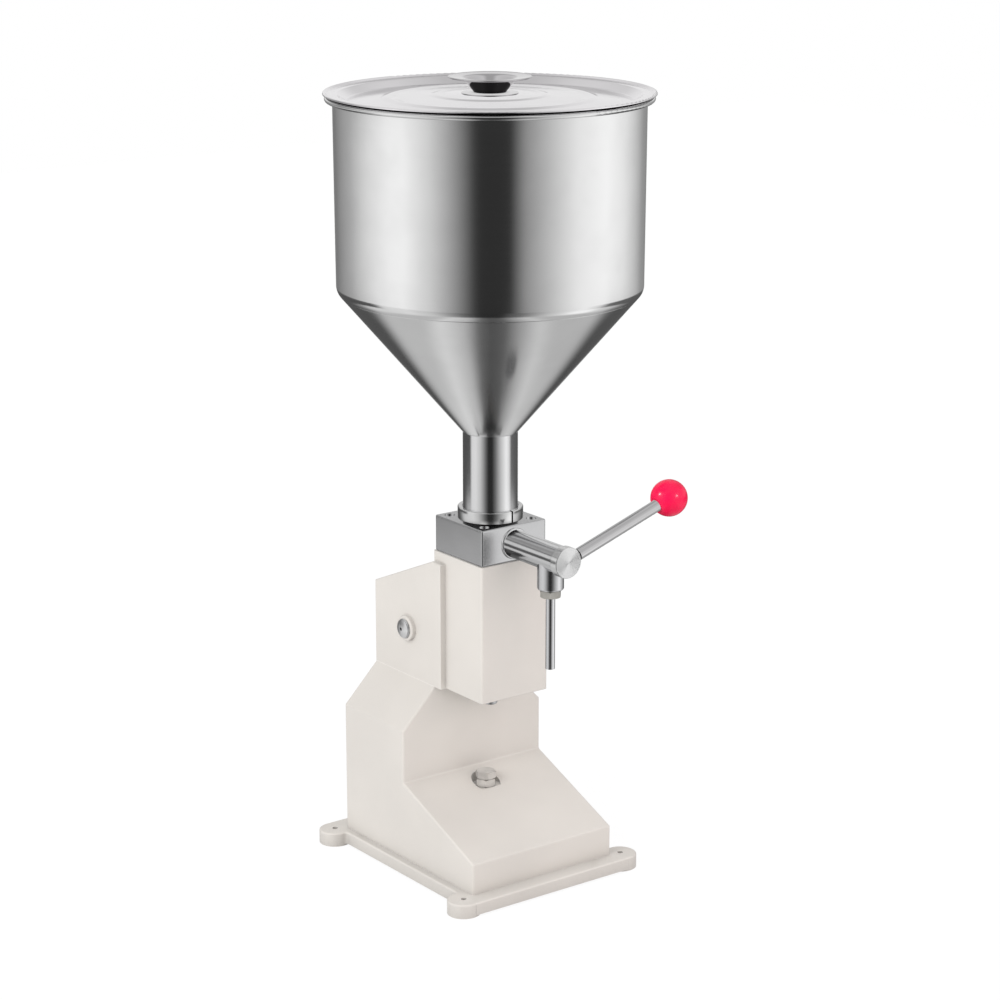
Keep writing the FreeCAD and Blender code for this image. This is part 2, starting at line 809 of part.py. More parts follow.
def axle_end_screws():
    screws = []
    seat = axle_end + free_gap + washer_thickness
    for side_sign in (-1, 1):
        out = Vector(side_sign, 0, 0)
        top = seat + end_screw_head_edge + end_screw_dome
        dome_r = (end_screw_head_r ** 2 + end_screw_dome ** 2) / (2.0 * end_screw_dome)
        head = rod(end_screw_head_r, axle_point(side_sign * seat), axle_point(side_sign * top))
        head = head.common(Part.makeSphere(dome_r, axle_point(side_sign * (top - dome_r))))
        shank = rod(end_screw_r, axle_point(side_sign * seat),
                    axle_point(side_sign * (axle_end - end_screw_length + end_screw_tip_gap)))
        socket = hexagon(end_screw_socket_af, Vector(0, 0, 0), Vector(0, 0, end_screw_dome))
        turn = Rotation(Vector(0, 0, 1), out)
        place = Placement(axle_point(side_sign * (top - end_screw_socket_depth)), turn)
        screws.append(head.fuse(shank).cut(socket.transformed(place.toMatrix())))
    return Part.makeCompound(screws)


def valve_block():
    shape = square_bar(block_half, column_top, block_top)
    shape = shape.makeFillet(block_edge_round, shape.Edges)
    spigot = rod(spigot_r, on_axis(block_top), on_axis(spigot_top))
    shape = shape.fuse(spigot)
    shape = shape.cut(rod(spigot_bore_r, on_axis(neck_seat), on_axis(spigot_top)))
    shape = shape.cut(rod(port_r, on_axis(column_top), on_axis(neck_seat)))
    spindle_room = rod(spindle_r + running_clear, Vector(0, block_front_y, arm_z),
                       Vector(0, axis_y + spindle_tail + free_gap, arm_z))
    shape = shape.cut(spindle_room)
    for centre in block_screw_centres():
        well_floor = centre + Vector(0, 0, block_top - screw_well_depth)
        shape = shape.cut(rod(screw_well_r, well_floor, centre + Vector(0, 0, block_top)))
        shape = shape.cut(rod(screw_r + screw_clear, centre + Vector(0, 0, column_top), well_floor))
    return shape


def block_screws():
    screws = []
    for centre in block_screw_centres():
        seat = centre + Vector(0, 0, block_top - screw_well_depth)
        top = seat + Vector(0, 0, screw_head_height)
        head = rod(screw_head_r, seat, top)
        shank = rod(screw_r, centre + Vector(0, 0, column_top - thread_depth), seat)
        socket = hexagon(screw_socket_af, top - Vector(0, 0, screw_head_height / 2.0), top)
        screws.append(head.fuse(shank).cut(socket))
    return Part.makeCompound(screws)


def along_arm(y):
    return Vector(0, y, arm_z)


def discharge_arm():
    pipe = rod(arm_r, along_arm(arm_front_y), along_arm(block_front_y))
    weld = Part.makeTorus(arm_r, weld_bead_r, along_arm(block_front_y - weld_bead_sink), Vector(0, 1, 0))
    weld = weld.cut(rod(arm_r + 2.0 * weld_bead_r, along_arm(block_front_y),
                        along_arm(block_front_y + 2.0 * weld_bead_r)))
    pipe = pipe.fuse(weld).removeSplitter()
    pipe = pipe.cut(rod(spindle_r + running_clear, along_arm(arm_front_y), along_arm(block_front_y)))
    outlet = rod(port_r, Vector(0, spout_y, arm_z - 2.0 * arm_r), Vector(0, spout_y, arm_z))
    return pipe.cut(outlet)


def spout_point(z):
    return Vector(0, spout_y, z)


def spout_socket():
    shape = rod(socket_r, spout_point(socket_bottom), spout_point(arm_z))
    rims = outer_edges(shape, lambda e, m: abs(m.z - socket_bottom) < touch)
    shape = shape.makeFillet(socket_edge_round, rims)
    saddle = rod(arm_r, along_arm(spout_y - 2.0 * socket_r), along_arm(spout_y + 2.0 * socket_r))
    shape = shape.cut(saddle)
    thread_top = socket_bottom + socket_thread_depth
    shape = shape.cut(rod(port_r, spout_point(socket_bottom), spout_point(arm_z)))
    return shape.cut(rod(socket_bore_r, spout_point(socket_bottom), spout_point(thread_top)))


def spout_nut():
    body = hexagon(nut_af, spout_point(nut_bottom), spout_point(socket_bottom), nut_chamfer, nut_turn)
    thread = rod(socket_bore_r - running_clear, spout_point(socket_bottom - nut_height / 2.0),
                 spout_point(socket_bottom + nut_thread_length))
    bore = rod(nozzle_root_r + running_clear, spout_point(nut_bottom),
               spout_point(socket_bottom + nut_thread_length))
    return body.fuse(thread).cut(bore)


def nozzle_tube():
    """A tube with a thicker root inside the nut, a flange over it and a short cone below it."""
    flange_low = socket_bottom + nut_thread_length
    flange_high = flange_low + nozzle_flange_thickness
    pipe = rod(nozzle_r, spout_point(nozzle_tip_z), spout_point(flange_high))
    shoulder = nozzle_root_r - nozzle_r
    cone = Part.makeCone(nozzle_r, nozzle_root_r, shoulder, spout_point(nut_bottom - shoulder),
                         Vector(0, 0, 1))
    root = rod(nozzle_root_r, spout_point(nut_bottom), spout_point(flange_high))
    flange = rod(nozzle_flange_r, spout_point(flange_low), spout_point(flange_high))
    bore = rod(nozzle_bore_r, spout_point(nozzle_tip_z), spout_point(flange_high))
    return pipe.fuse([cone, root, flange]).removeSplitter().cut(bore)


def nozzle_seal():
    low = socket_bottom + nut_thread_length + nozzle_flange_thickness
    high = low + nozzle_seal_thickness
    return tube(nozzle_flange_r, nozzle_seal_bore_r, spout_point(low), spout_point(high))


def spindle_seal_places():
    """Rings on both sides of the outlet groove, and on both sides of the block's ports."""
    beside_groove = spindle_groove_width / 2.0 + seal_spacing
    beside_port = scallop_width / 2.0 + seal_spacing
    return [spout_y - beside_groove, spout_y + beside_groove, axis_y - beside_port, axis_y + beside_port]


def valve_spindle():
    tail_y = axis_y + spindle_tail
    nose_y = cap_front_y + cap_face + free_gap
    shape = rod(spindle_r, along_arm(cap_rear_y), along_arm(tail_y))
    shape = shape.fuse(rod(spindle_nose_r, along_arm(nose_y), along_arm(cap_rear_y)))
    half_groove = spindle_groove_width / 2.0
    shape = shape.cut(tube(spindle_r + cut_over, spindle_groove_r, along_arm(spout_y - half_groove),
                           along_arm(spout_y + half_groove)))
    shape = shape.cut(rod(spindle_bore_r, along_arm(spout_y - half_groove / 2.0), along_arm(axis_y)))
    shape = shape.cut(rod(spindle_outlet_r, Vector(0, spout_y, arm_z - spindle_r),
                          Vector(0, spout_y, arm_z + spindle_r)))
    side_port = rod(spindle_side_port_r, Vector(-spindle_r, axis_y, arm_z), Vector(0, axis_y, arm_z))
    shape = shape.cut(side_port)
    half_scallop = scallop_width / 2.0
    scallop = block_between(Vector(spindle_r - scallop_depth, axis_y - half_scallop, arm_z - spindle_r),
                            Vector(spindle_r, axis_y + half_scallop, arm_z + spindle_r))
    shape = shape.cut(scallop.cut(rod(spindle_bore_r + spindle_bore_wall, along_arm(axis_y - scallop_width),
                                      along_arm(axis_y + scallop_width))))
    groove_floor = spindle_r - 2.0 * seal_section_r
    half = seal_section_r + running_clear
    for y in spindle_seal_places():
        groove = tube(spindle_r + cut_over, groove_floor, along_arm(y - half), along_arm(y + half))
        shape = shape.cut(groove)
    return shape.cut(rod(lever_root_r, lever_point(0.0), lever_point(spindle_r)))


def spindle_seals():
    rings = []
    ring_r = spindle_r - seal_section_r
    for y in spindle_seal_places():
        rings.append(Part.makeTorus(ring_r, seal_section_r, along_arm(y), Vector(0, 1, 0)))
    return Part.makeCompound(rings)


def end_cap():
    shape = rod(cap_r, along_arm(cap_front_y), along_arm(cap_rear_y))
    shape = shape.makeFillet(cap_edge_round, outer_edges(shape, lambda e, m: len(e.Vertexes) == 1))
    room = rod(spindle_nose_r + running_clear, along_arm(cap_front_y + cap_face), along_arm(cap_rear_y))
    return shape.cut(room).cut(rod(lever_root_r, lever_point(0.0), lever_point(cap_r + cut_over)))


def lever_point(distance):
    """A point on the lever's centre line, at a distance from the arm axis."""
    angle = math.radians(lever_angle)
    return Vector(distance * math.cos(angle), lever_y, arm_z + distance * math.sin(angle))


def lever_rod():
    shoulder = lever_point(cap_r + free_gap)
    bar = rod(lever_r, shoulder, lever_point(ball_flat_reach))
    root = rod(lever_root_r, lever_point(lever_root_start), shoulder)
    stud = rod(ball_stud_r, lever_point(ball_flat_reach), lever_point(ball_flat_reach + ball_stud_length))
    return bar.fuse([root, stud]).removeSplitter()


def lever_ball():
    ball = Part.makeSphere(ball_r, lever_point(lever_reach))
    shape = ball.cut(rod(ball_r, lever_point(lever_reach - 2.0 * ball_r), lever_point(ball_flat_reach)))
    stud_end = lever_point(ball_flat_reach + ball_stud_length)
    return shape.cut(rod(ball_stud_r, lever_point(lever_reach - ball_r), stud_end))


def seam_groove_ring():
    """The fine groove that shows outside where wall and cone are welded together."""
    along_r = math.sin(cone_angle)
    along_z = math.cos(cone_angle)
    points = []
    for forward, out in ((seam_groove, cut_over), (-seam_groove, cut_over), (-seam_groove, 0.0),
                         (0.0, -seam_groove), (seam_groove, 0.0)):
        points.append((seam_r + forward * along_r + out * along_z,
                       seam_z + forward * along_z - out * along_r))
    return turned(points)


def hopper_wall():
    """Spun sheet from the seam round the bend and up the wall, with its top edge curled outwards."""
    curl_r = bead_r - hopper_sheet
    high = hopper_top + curl_r
    low = hopper_top - curl_r
    outer_r = bead_r_centre + curl_r
    path = [(seam_r, seam_z), (hopper_r, cone_top), (hopper_top_r, high), (outer_r, high),
            (outer_r, low), (bead_r_centre - bead_tail, low)]
    wall = turned_sheet(path, [cone_bend_r, hopper_mouth_bend, curl_r, curl_r], hopper_sheet)
    return wall.cut(seam_groove_ring())


def hopper_cone():
    cone = turned_sheet([(neck_r, cone_bottom), (seam_r, seam_z)], [], hopper_sheet)
    return cone.cut(seam_groove_ring())


def hopper_neck():
    return tube(neck_r, neck_r - neck_wall, on_axis(neck_bottom), on_axis(cone_bottom))


def neck_seal():
    centre = on_axis(spigot_top + neck_seal_r)
    return Part.makeTorus((spigot_bore_r + spigot_r) / 2.0, neck_seal_r, centre, Vector(0, 0, 1))


def neck_collar():
    low = block_top + free_gap
    lip_z = collar_top - collar_lip
    profile = [(spigot_r + free_gap, low), (collar_r, low), (collar_r, collar_top),
               (spigot_bore_r, collar_top),
               (spigot_bore_r, lip_z), (spigot_r + free_gap, lip_z)]
    shape = turned(profile, [0.0, collar_edge_round, collar_top_round, collar_edge_round, 0.0, 0.0])
    slit = block_between(Vector(-collar_slit / 2.0, -collar_r - cut_over, low - cut_over),
                         Vector(collar_slit / 2.0, -spigot_bore_r + cut_over, collar_top + cut_over))
    turn = Rotation(Vector(0, 0, 1), collar_slit_angle)
    return shape.cut(slit.transformed(Placement(on_axis(0), turn).toMatrix()))


def lid_panel_height(radius):
    """Height of the lid's domed panel above its valley."""
    share = 1.0 - (radius / lid_valley_r) ** 2
    return lid_rise * share


def hopper_lid():
    """Spun lid: turned-down rim, raised lip, flat flange, valley, and a low ringed dome."""
    lip_z = lid_flange_z + lid_lip_rise
    path = [(lid_r, lip_z - lid_skirt), (lid_r, lip_z), (bead_r_centre, lid_flange_z),
            (lid_flange_r, lid_flange_z), (lid_valley_r, lid_valley_z)]
    bends = [lid_rim_bend, lid_lip_bend, lid_shoulder_bend, lid_valley_bend]
    for ring_r in (lid_ring_outer_r, lid_ring_inner_r):
        half = lid_ring_width / 2.0
        for radius, lift in ((ring_r + half, 0.0), (ring_r, lid_ring_height), (ring_r - half, 0.0)):
            path.append((radius, lid_valley_z + lid_panel_height(radius) + lift))
            bends.append(lid_ring_bend)
    path.append((knob_foot_r, lid_centre_z))
    path.append((knob_screw_r + running_clear, lid_centre_z))
    bends.append(0.0)
    return turned_sheet(path, bends, lid_sheet)


def lid_knob():
    """A dished trumpet knob: foot ring, waist, and a wide flared rim around an open hollow."""
    low = lid_centre_z
    high = low + knob_height
    floor_z = low + knob_floor
    outer = [(knob_waist_r, low), (knob_waist_r + knob_flare, floor_z),
             (knob_rim_r - knob_brim, high - knob_brim_drop), (knob_rim_r, high)]
    sheet = turned_sheet(outer, [knob_waist_bend, knob_brim_bend], knob_wall)
    bore_r = knob_screw_r + running_clear
    foot_top = low + knob_foot_height
    foot = turned([(bore_r, low), (knob_foot_r, low), (knob_foot_r, foot_top),
                   (knob_waist_r, foot_top + knob_foot_slope), (knob_waist_r, floor_z), (bore_r, floor_z)])
    rim_centre = on_axis(high + knob_wall / 2.0)
    rim = Part.makeTorus(knob_rim_r - knob_wall / 2.0, knob_lip_r, rim_centre, Vector(0, 0, 1))
    return sheet.fuse([foot, rim]).removeSplitter()


def knob_screw():
    seat = lid_centre_z + knob_floor
    head = rod(knob_screw_head_r, on_axis(seat), on_axis(seat + knob_screw_head_height))
    rims = outer_edges(head, lambda e, m: abs(m.z - seat - knob_screw_head_height) < touch)
    head = head.makeFillet(knob_screw_head_round, rims)
    tip = lid_centre_z - lid_sheet - knob_nut_height - knob_screw_tip
    return head.fuse(rod(knob_screw_r, on_axis(tip), on_axis(seat)))


def knob_nut():
    high = lid_centre_z - lid_sheet
    low = high - knob_nut_height
    body = hexagon(knob_nut_af, on_axis(low), on_axis(high), small_hex_chamfer)
    return body.cut(rod(knob_screw_r, on_axis(low), on_axis(high)))


def stop_point(z):
    return Vector(0, stop_y, z)


def lock_nut():
    low = stop_floor + free_gap
    high = low + stop_nut_height
    body = hexagon(stop_bolt_af, stop_point(low), stop_point(high), hex_chamfer, stop_nut_turn)
    return body.cut(rod(stop_bolt_r + running_clear, stop_point(low), stop_point(high)))


def stop_bolt():
    seat = stop_floor + stop_nut_height + 2.0 * free_gap
    top = stop_point(seat + stop_head_height)
    head = hexagon(stop_bolt_af, stop_point(seat), top, hex_chamfer, stop_bolt_turn)
    shank = rod(stop_bolt_r, stop_point(seat - stop_bolt_length), stop_point(seat))
    tip = outer_edges(shank, lambda e, m: abs(m.z - seat + stop_bolt_length) < touch)
    return head.fuse(shank.makeChamfer(hex_chamfer, tip))


SUB_PARTS = (
    base_plate, base_screws, foot_housing, linkage_box, column, column_foot_plate, rod_bush,
    head_plate, valve_block, block_screws, cylinder_gasket, cylinder_barrel, piston, piston_seals,
    piston_rod, piston_nut, rod_pin, rod_pin_clips, rocker_arm, rocker_lock_pin, cross_axle,
    axle_spacers, axle_bushes, axle_washers, axle_end_screws, discharge_arm, spout_socket,
    spout_nut, nozzle_tube, nozzle_seal, valve_spindle, spindle_seals, end_cap, lever_rod,
    lever_ball, hopper_wall, hopper_cone, hopper_neck, neck_seal, neck_collar, hopper_lid, lid_knob,
    knob_screw, knob_nut, lock_nut, stop_bolt,
)

os.makedirs("parts", exist_ok=True)
for make in SUB_PARTS:
    shape = make()
    solids = shape.Solids
    problem = "" if shape.isValid() and all(s.Volume > 0 for s in solids) else "  CHECK"
    shape = Part.makeCompound(solids) if len(solids) > 1 else solids[0]
    shape.exportStep(f"parts/{make.__name__}.step")
    box = shape.BoundBox
    print(f"{make.__name__:18s} {len(solids)} solids  {shape.Volume / 1000.0:8.2f} cm3  "
          f"z {box.ZMin:6.1f} to {box.ZMax:6.1f}{problem}")
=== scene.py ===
import math

import bmesh
import bpy
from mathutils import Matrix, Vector

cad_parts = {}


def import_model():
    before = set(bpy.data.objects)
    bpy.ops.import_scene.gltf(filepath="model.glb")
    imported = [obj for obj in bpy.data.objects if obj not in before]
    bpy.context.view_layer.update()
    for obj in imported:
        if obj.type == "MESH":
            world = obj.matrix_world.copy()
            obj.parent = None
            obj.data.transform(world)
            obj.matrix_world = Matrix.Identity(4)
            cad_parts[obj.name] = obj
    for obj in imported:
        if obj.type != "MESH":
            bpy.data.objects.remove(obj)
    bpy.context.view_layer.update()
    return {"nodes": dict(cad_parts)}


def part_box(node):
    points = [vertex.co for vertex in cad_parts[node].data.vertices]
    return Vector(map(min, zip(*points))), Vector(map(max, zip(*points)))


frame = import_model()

nodes = frame["nodes"]

# Viewpoint, in metres and degrees
view_azimuth = -36.72
view_elevation = 15.26
view_distance = 2.333
view_aim_side = 0.00785
view_aim_height = 0.33277
view_aim_axis_y = -0.0227
lens_mm = 97.93
sensor_mm = 36.0
nearest_seen = 0.05

# Shading of turned pieces: faces that look sideways are left as they are, and a larger step is a sharp edge
side_share = 0.15
sharp_step = math.radians(50.0)
same_side = math.radians(60.0)
ring_gap = 0.00007
on_axis = 0.00001

# Painted highlights and painted shade: how near an edge or a corner has to be, in metres
edge_highlight_r = 0.0005
paint_shade_reach = 0.05
well_reach = 0.006
gap_reach = 0.004
edge_samples = 6

# Polishing lines: how often they change along X, Y and Z in a metre, and how deep they are
spun_lines = (6.0, 6.0, 1600.0)
even_lines = (90.0, 90.0, 90.0)
block_lines = (40.0, 40.0, 1500.0)
upright_lines = (20.0, 20.0, 1500.0)
arm_lines = (1400.0, 20.0, 1400.0)
lever_lines = (20.0, 1400.0, 1400.0)
line_depth = 0.000004
fine_depth = 0.000003
finer_depth = 0.000002
bright_depth = 0.0000012
cap_groove_pitch = 0.0005
cap_groove_depth = 0.00007
orange_peel_depth = 0.00006
plating_depth = 0.00002
rubber_depth = 0.00003

# Studio
floor_half = 4.0
floor_tone = (0.85, 0.85, 0.85, 1.0)
floor_glow = 1.06
floor_glow_share = 0.86
tent_r = 0.85
tent_height = 0.40
tent_strength = 1.4
tent_columns = 96
tent_rows = 48
sky_level = 0.78
under_shade = 0.06

# Where one belt of the tent gives way to the next, as shares of its radius above and below its middle
waist_start = (-0.35, -0.31)
low_start = (-0.10, -0.04)
high_start = (0.20, 0.26)
top_start = (0.31, 0.36)
crown_start = (0.50, 0.78)
under_end = (-0.68, -0.52)
shade_start = (0.42, 0.85)
shade_end = (-0.68, -0.40)

# Lamps, in metres and watts
lamp_aim = Vector((0, 0, 0.25))
key_place = Vector((-2.2, -0.5, 1.5))
key_size = 1.4
key_power = 20.5
fill_place = Vector((0.4, -2.2, 1.0))
fill_size = 1.6
fill_power = 6.5
fill_tone = (1.0, 0.80, 0.78)
left_glint_offset = Vector((-0.56, 0.17, 0.28))
left_glint_size = 0.08
left_glint_power = 1.6
right_glint_offset = Vector((0.13, -0.60, 0.24))
right_glint_size = 0.07
right_glint_power = 1.1


def stops_by_degrees(*pairs):
    """Ramp stops from degrees round the tent, where zero is the side that faces the camera."""
    return [(0.5 + degrees / 360.0, level / tent_strength) for degrees, level in pairs]


def stops_across(*pairs):
    """Ramp stops from metres to the left and right of the tent's middle."""
    return [(0.5 + place / (2.0 * tent_r), level / tent_strength) for place, level in pairs]


# Five belts of the tent, from the foot upwards, then what lies across under and over the machine
FOOT_BANDS = stops_by_degrees((-180, 0.70), (-171, 0.65), (-162, 0.10), (-140, 0.10), (-122, 0.30),
                              (-112, 0.62), (-100, 0.86), (-62, 0.98), (-42, 0.74), (-19, 0.18),
                              (-8, 0.03), (8, 0.03), (22, 0.20), (45, 0.74), (58, 1.0), (68, 1.30),
                              (82, 1.30), (92, 0.94), (108, 0.70), (124, 0.30), (142, 0.10),
                              (162, 0.10), (171, 0.65), (180, 0.70))
WAIST_BANDS = stops_by_degrees((-180, 0.70), (-171, 0.65), (-162, 0.10), (-92, 0.10), (-82, 0.95),
                               (-62, 0.98), (-42, 0.74), (-19, 0.18), (-8, 0.03), (8, 0.03),
                               (22, 0.20), (45, 0.74), (70, 1.20), (85, 0.90), (96, 0.16),
                               (162, 0.10), (171, 0.65), (180, 0.70))
LOW_BANDS = stops_by_degrees((-180, 0.80), (-171, 0.75), (-164, 0.24), (-148, 0.22), (-116, 0.54), (-92, 1.0),
                             (-74, 1.22), (-61, 1.26), (-41, 0.88), (-19, 0.28), (-11, 0.07), (-7, 0.035),
                             (14, 0.035), (19, 0.20), (24, 0.38), (38, 0.64), (62, 1.12), (88, 1.30),
                             (109, 1.08), (123, 0.78), (141, 0.38), (164, 0.24), (171, 0.75), (180, 0.80))
HIGH_BANDS = stops_by_degrees((-180, 0.42), (-160, 0.38), (-140, 0.40), (-100, 0.15), (-85, 0.5), (-66, 1.2),
                              (-32, 0.6), (-12, 0.05), (14, 0.05), (42, 0.7), (75, 1.25), (108, 1.1),
                              (135, 0.4), (160, 0.38), (180, 0.42))
TOP_BANDS = stops_by_degrees((-180, 0.88), (-150, 0.90), (-120, 0.30), (-66, 1.0), (-32, 0.6), (-12, 0.05),
                             (14, 0.05), (42, 0.7), (75, 1.1), (120, 0.30), (150, 0.90), (180, 0.88))
UNDER_BANDS = stops_across((-0.42, 0.66), (-0.335, 0.92), (-0.176, 0.62), (-0.085, 0.17), (0.0, 0.10),
                           (0.11, 0.14), (0.2, 0.42), (0.335, 0.80), (0.42, 0.62))
CROWN_BANDS = stops_across((-0.5, 0.8), (-0.2, 0.95), (-0.08, 0.60), (0.08, 0.60), (0.2, 0.95), (0.5, 0.8))


def camera():
    """A long lens at the front left, a little above the machine, held level."""
    azimuth = math.radians(view_azimuth)
    elevation = math.radians(view_elevation)
    right = Vector((math.cos(azimuth), math.sin(azimuth), 0))
    back = Vector((math.sin(azimuth) * math.cos(elevation),
                   -math.cos(azimuth) * math.cos(elevation), math.sin(elevation)))
    aim = right * view_aim_side + Vector((0, view_aim_axis_y, view_aim_height))
    lens = bpy.data.cameras.new("camera")
    lens.lens = lens_mm
    lens.sensor_width = sensor_mm
    lens.clip_start = nearest_seen
    taker = bpy.data.objects.new("camera", lens)
    taker.location = aim + back * view_distance
    taker.rotation_euler = (math.radians(90.0) - elevation, 0, azimuth)
    bpy.context.scene.collection.objects.link(taker)
    bpy.context.scene.camera = taker


class Signal:
    """One output in a node tree; arithmetic on signals adds Math nodes to the tree."""

    def __init__(self, sheet, socket):
        self.sheet = sheet
        self.socket = socket

    def math(self, operation, *values):
        return self.sheet.add("ShaderNodeMath", {"operation": operation}, values)

    def __add__(self, other):
        return self.math("ADD", self, other)

    def __radd__(self, other):
        return self.math("ADD", other, self)

    def __sub__(self, other):
        return self.math("SUBTRACT", self, other)

    def __rsub__(self, other):
        return self.math("SUBTRACT", other, self)

    def __mul__(self, other):
        return self.math("MULTIPLY", self, other)

    def __rmul__(self, other):
        return self.math("MULTIPLY", other, self)

    def ramped(self, low, high):
        """Zero below low, one above high and a smooth step between them."""
        ramp = {"interpolation_type": "SMOOTHSTEP", "clamp": True}
        return self.sheet.add("ShaderNodeMapRange", ramp, (self, low, high, 0.0, 1.0))


class NodeSheet:
    """A node tree that is written down as expressions."""

    def __init__(self, tree):
        self.tree = tree

    def add(self, kind, settings, inputs, output=0):
        """One node: its settings first, then its input values or links; gives back one output."""
        node = self.tree.nodes.new(kind)
        for key, value in settings.items():
            if key == "stops":
                self.set_stops(node.color_ramp, value)
            else:
                setattr(node, key, value)
        pairs = inputs.items() if isinstance(inputs, dict) else enumerate(inputs)
        for key, value in pairs:
            self.feed(node.inputs[key], value)
        return Signal(self, node.outputs[output])

    def feed(self, socket, value):
        if isinstance(value, Signal):
            self.tree.links.new(value.socket, socket)
        else:
            socket.default_value = value

    @staticmethod
    def set_stops(ramp, stops):
        while len(ramp.elements) > 1:
            ramp.elements.remove(ramp.elements[-1])
        for index, (place, level) in enumerate(stops):
            element = ramp.elements[0] if index == 0 else ramp.elements.new(place)
            element.position = place
            element.color = (level, level, level, 1.0)

    def position(self):
        return self.add("ShaderNodeTexCoord", {}, {}, "Object")

    def split(self, vector):
        """The three numbers of a vector."""
        parts = self.add("ShaderNodeSeparateXYZ", {}, (vector,))
        node = parts.socket.node
        return [Signal(self, node.outputs[axis]) for axis in range(3)]

    def stretched(self, vector, scale):
        product = {"operation": "MULTIPLY"}
        return self.add("ShaderNodeVectorMath", product, (vector, scale))

    def noise(self, vector, scale, detail=2.0, roughness=0.5):
        sizes = {"Vector": vector, "Scale": scale, "Detail": detail, "Roughness": roughness}
        return self.add("ShaderNodeTexNoise", {}, sizes)

    def ramp(self, stops, place):
        """A grey level that runs through stops as place goes from zero to one."""
        return self.add("ShaderNodeValToRGB", {"stops": stops}, (place,))

    def mixed(self, share, first, second):
        """A colour between two colours."""
        settings = {"data_type": "RGBA"}
        return self.add("ShaderNodeMix", settings, {0: share, 6: first, 7: second}, 2)


class Finish(NodeSheet):
    """A material with one Principled shader."""

    def __init__(self, name, colour, roughness, metallic=0.0, **constants):
        self.material = bpy.data.materials.new(name)
        self.material.use_nodes = True
        super().__init__(self.material.node_tree)
        self.shader = self.tree.nodes["Principled BSDF"]
        self.colour = (*colour, 1.0)
        self.give("Base Color", self.colour)
        self.give("Roughness", roughness)
        self.give("Metallic", metallic)
        for key, value in constants.items():
            self.give(key.replace("_", " "), value)

    def give(self, name, value):
        self.feed(self.shader.inputs[name], value)

    def relief(self, height, depth):
        """Raise and sink the surface by a height signal, as deep as depth in metres."""
        bump = self.add("ShaderNodeBump", {}, {"Strength": 1.0, "Distance": depth, "Height": height})
        self.give("Normal", bump)

    def edge_share(self, radius):
        """One at sharp edges and corners, zero on flat faces."""
        soft = self.add("ShaderNodeBevel", {"samples": edge_samples}, {"Radius": radius})
        true_normal = self.add("ShaderNodeNewGeometry", {}, {}, "Normal")
        agree = self.add("ShaderNodeVectorMath", {"operation": "DOT_PRODUCT"}, (soft, true_normal), 1)
        return (1.0 - agree).ramped(0.002, 0.12)

    def shade_share(self, reach):
        """Towards one in inside corners and narrow gaps, where shade falls; it paints shade into the colour.
        """
        settings = {"samples": edge_samples}
        open_share = self.add("ShaderNodeAmbientOcclusion", settings, {"Distance": reach}, 1)
        return 1.0 - open_share


def cream_paint(name, painted_edge_tone, edge_r, tone=(0.775, 0.738, 0.692)):
    """Sprayed enamel over cast and welded steel: fine orange peel, a painted edge line in the given tone (a
    highlight on the body, a shade line on the column), and painted shade in inside corners.
    """
    paint = Finish(name, tone, 0.38, Coat_Weight=0.12, Coat_Roughness=0.2)
    place = paint.position()
    broad = paint.noise(place, 9.0, 3.0)
    peel = paint.noise(place, 850.0, 3.0, 0.6)
    pits = paint.noise(place, 260.0, 2.0)
    lighter = tuple(min(1.0, part * 1.03) for part in tone) + (1.0,)
    darker = tuple(part * 0.965 for part in tone) + (1.0,)
    body = paint.mixed(broad.ramped(0.3, 0.7), darker, lighter)
    # Painted edge line: the colour turns towards the given edge tone along edges, a painted highlight on the
    # body and a painted shade line on the column
    with_edge_line = paint.mixed(paint.edge_share(edge_r) * 0.75, body, (*painted_edge_tone, 1.0))
    # Painted shade: the colour darkens towards a deeper tone in inside corners and narrow gaps, where shade
    # falls
    corner_shade_tone = tuple(part * 0.60 for part in tone) + (1.0,)
    corner_shaded = paint.shade_share(paint_shade_reach).ramped(0.28, 0.65)
    paint.give("Base Color", paint.mixed(corner_shaded * 0.75, with_edge_line, corner_shade_tone))
    paint.give("Roughness", 0.34 + 0.14 * peel)
    paint.relief(peel * 0.7 + pits * 0.6, orange_peel_depth)
    return paint.material


def satin_steel(name, colour, roughness, spread, depth):
    """Stainless steel with fine polishing lines; spread says how often they change along X, Y and Z."""
    steel = Finish(name, colour, roughness, 1.0)
    place = steel.position()
    lines = steel.noise(steel.stretched(place, spread), 1.0, 4.0, 0.65)
    cloud = steel.noise(place, 30.0, 2.0)
    dull = tuple(part * 0.94 for part in colour) + (1.0,)
    body = steel.mixed(cloud.ramped(0.35, 0.7) * 0.6 + lines * 0.3, steel.colour, dull)
    # Painted shade: the colour goes almost black in deep hollows and wells, where shade falls
    hollow_shade_tone = tuple(part * 0.04 for part in colour) + (1.0,)
    steel.give("Base Color", steel.mixed(steel.shade_share(well_reach).ramped(0.55, 0.85), body, hollow_shade_tone))
    steel.give("Roughness", roughness - 0.03 + 0.07 * lines + 0.03 * cloud)
    steel.relief(lines, depth)
    return steel.material


